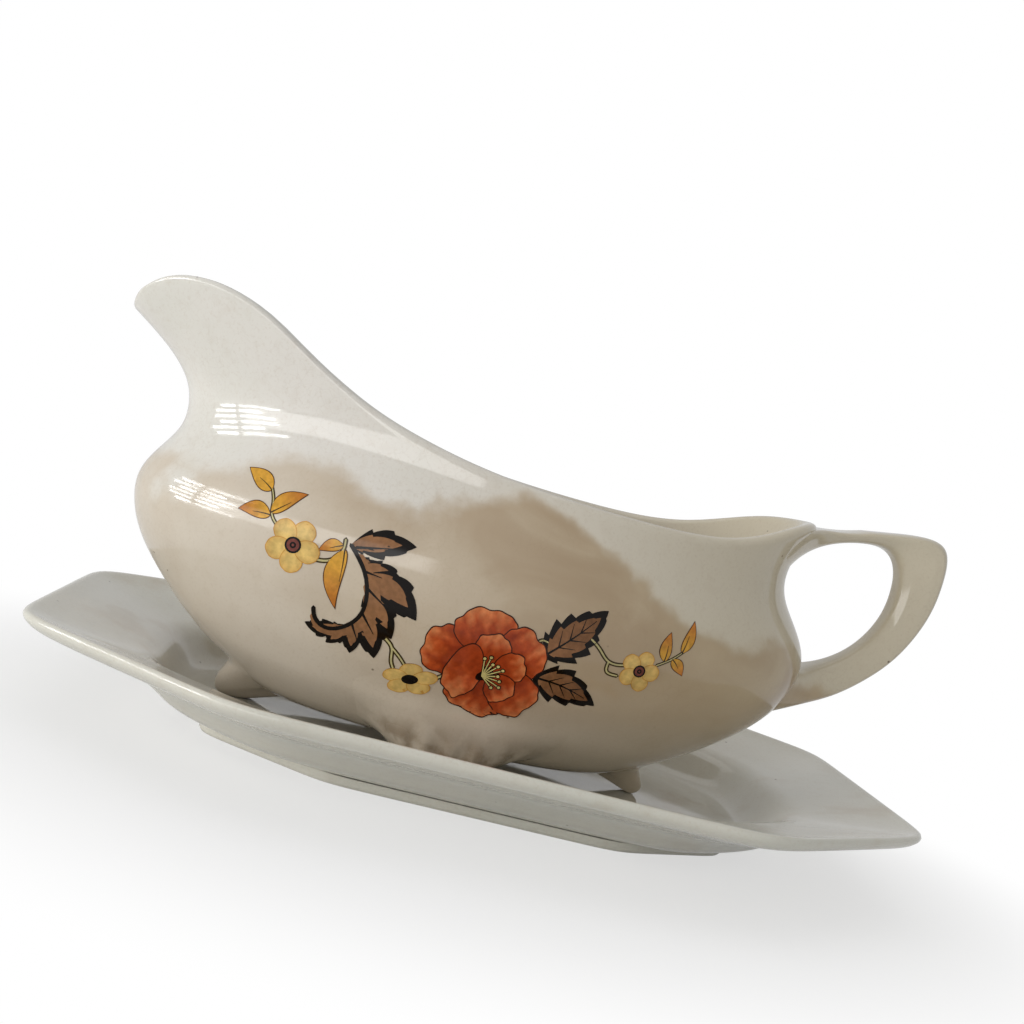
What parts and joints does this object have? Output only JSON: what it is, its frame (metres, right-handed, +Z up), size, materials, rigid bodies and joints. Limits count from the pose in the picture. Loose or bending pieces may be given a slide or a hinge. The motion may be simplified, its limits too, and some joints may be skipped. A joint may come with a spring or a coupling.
{
  "type": "gravy boat",
  "caption": "Glazed earthenware gravy boat on small moulded feet, with a swept pouring lip and a looped handle, standing on its octagonal dish; it lifts off.",
  "frame": {"origin": "centre of the foot ring's underside, where the dish rests on the table", "axes": "+Z up, +X towards the boat's handle, -X towards its spout, +Y across the dish"},
  "size_m": [0.2189, 0.144, 0.1011],
  "materials": {
    "boat_glaze": "glossy cream glaze with tea-brown staining",
    "stand_glaze": "glossy cream glaze, lightly stained"
  },
  "bodies": {
    "stand": {"stand_dish": "stand_glaze", "stand_foot_ring": "stand_glaze"},
    "boat": {"boat_shell": "boat_glaze", "handle": "boat_glaze", "spout_foot": "boat_glaze", "handle_foot": "boat_glaze", "front_side_foot": "boat_glaze", "back_side_foot": "boat_glaze"}
  },
  "joints": [
    {"name": "boat_lift", "type": "slide", "parent": "stand", "child": "boat", "axis": [0, 0, 1], "range_m": [0, 0.12]}
  ]
}
